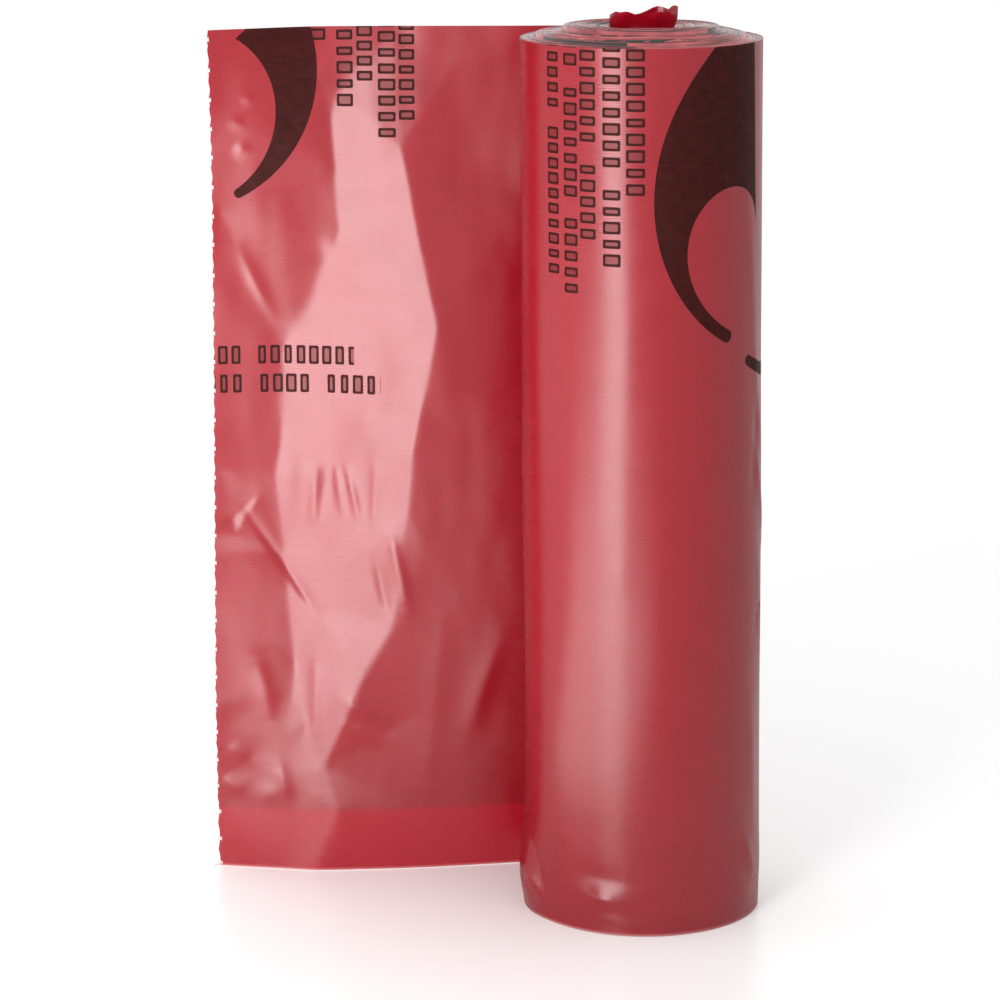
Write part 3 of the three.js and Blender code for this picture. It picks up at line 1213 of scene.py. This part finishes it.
def inner_bag_tuft():
    """The crumpled end of the innermost bag, standing in the bore and flaring over its rim."""
    shares = np.array([row[0] for row in TUFT_LINE])
    line_x = spline([(a, x) for a, x, _ in TUFT_LINE])
    line_y = spline([(a, y) for a, _, y in TUFT_LINE])
    rim = spline(TUFT_RIM)
    u = np.linspace(shares[0], shares[-1], TUFT_STEPS)
    v = np.linspace(0, 1, TUFT_ROWS) ** 0.7
    along, up = np.meshgrid(u, v, indexing="ij")
    z = TUFT_FOOT + (rim(along) - TUFT_FOOT) * up
    squeeze = 0.84 + 0.16 * smooth_step(z, 385, 396)
    x = line_x(along) * squeeze
    y = line_y(along) * squeeze
    crumple = soft_noise((TUFT_STEPS, TUFT_ROWS), (4, 4), seed=41) * 0.65
    crumple += soft_noise((TUFT_STEPS, TUFT_ROWS), (1.6, 2), seed=42) * 0.14
    dx, dy = np.gradient(x, axis=0), np.gradient(y, axis=0)
    size = np.hypot(dx, dy) + 1e-9
    x = x + crumple * dy / size
    y = y - crumple * dx / size
    flare = smooth_step(z, 392.5, 399.0)
    front = smooth_step(-along, -0.56, -0.5)
    y = y - 2.6 * flare * front
    z = z - 1.4 * smooth_step(z, 396.5, 400) * front * np.sin(along * 40) * 0.4
    points = np.stack([x + lean(z), y, z], axis=-1).reshape(-1, 3)
    web = np.stack([along * 70 + 500, z], axis=-1).reshape(-1, 2)
    return add_mesh("inner_bag_tuft", points, grid_faces(TUFT_STEPS, TUFT_ROWS), [outer_face_film], web)


# Build the pieces.
outer = outer_flap()
inner = inner_flap()
nibs = perforation_nibs()
turns = wound_turns(np.random.default_rng(5))
tuft = inner_bag_tuft()

for piece in (outer, inner, nibs, turns, tuft):
    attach(piece, "root")
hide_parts("leading_bag")
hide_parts("wound_bags")
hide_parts("inner_bag_end")


# Floor, light and camera.


FLOOR_RADIUS = 14.0
FLOOR_ALBEDO = 0.93
FLOOR_ROUGHNESS = 0.3
ROOM_RADIANCE = 1.06

# Soft panels: azimuth in degrees, then distance, width and height in metres, then radiance. The floor's panels lie
# flat, so their height is a depth.
MAIN_PANEL = (-34, 1.15, 1.0, 0.75, 9.0)
FILL_PANEL = (-88, 1.15, 1.1, 0.75, 5.0)
FLOOR_GLOW = (-35, 0.6, 0.7, 0.7, 3.2)
FLOOR_GLOW_CORE = (-33, 0.62, 0.4, 0.5, 2.2)


def white_floor():
    below = (0, 0, -0.0002)
    bpy.ops.mesh.primitive_circle_add(vertices=96, radius=FLOOR_RADIUS, fill_type="NGON", location=below)
    floor = bpy.context.object
    floor.name = "floor"
    material = bpy.data.materials.new("white_floor")
    material.use_nodes = True
    front = material.node_tree.nodes["Principled BSDF"]
    front.inputs["Base Color"].default_value = (FLOOR_ALBEDO, FLOOR_ALBEDO, FLOOR_ALBEDO, 1)
    front.inputs["Roughness"].default_value = FLOOR_ROUGHNESS
    floor.data.materials.append(material)
    return floor


def panel(name, azimuth, distance, width, height, radiance):
    """An upright soft panel that faces the roll and that the camera doesn't see. Azimuth 0 is the front."""
    light = bpy.data.lights.new(name, "AREA")
    light.shape = "RECTANGLE"
    light.size = width
    light.size_y = height
    light.energy = radiance * np.pi * width * height
    lamp = bpy.data.objects.new(name, light)
    turn = np.radians(azimuth)
    lamp.location = (AXIS_X * MM + distance * np.sin(turn), -distance * np.cos(turn), height / 2 + 0.01)
    lamp.rotation_euler = (np.pi / 2, 0, -turn)
    lamp.visible_camera = False
    bpy.context.scene.collection.objects.link(lamp)
    return lamp


def floor_glow(name, azimuth, distance, width, depth, radiance):
    """A panel that lies on the floor and faces up. The film mirrors it, because it is seen from above."""
    lamp = panel(name, azimuth, distance, width, depth, radiance)
    lamp.location.z = 0.004
    lamp.rotation_euler = (np.pi, 0, -np.radians(azimuth))
    return lamp


white_floor()
panel("main_panel", *MAIN_PANEL)
panel("fill_panel", *FILL_PANEL)
floor_glow("floor_glow", *FLOOR_GLOW)
floor_glow("floor_glow_core", *FLOOR_GLOW_CORE)

world = bpy.data.worlds.new("white_room")
bpy.context.scene.world = world
world.use_nodes = True
world.node_tree.nodes["Background"].inputs["Color"].default_value = (1, 1, 1, 1)
world.node_tree.nodes["Background"].inputs["Strength"].default_value = ROOM_RADIANCE
bpy.context.scene.view_settings.view_transform = "Standard"

camera = bpy.data.objects.new("camera", bpy.data.cameras.new("camera"))
camera.data.lens = CAMERA_LENS
camera.data.sensor_width = 36
camera.data.clip_end = 100
camera.location = place([CAMERA_PLACE])[0]
camera.rotation_euler = (np.radians(CAMERA_PITCH), 0, 0)
bpy.context.scene.collection.objects.link(camera)
bpy.context.scene.camera = camera
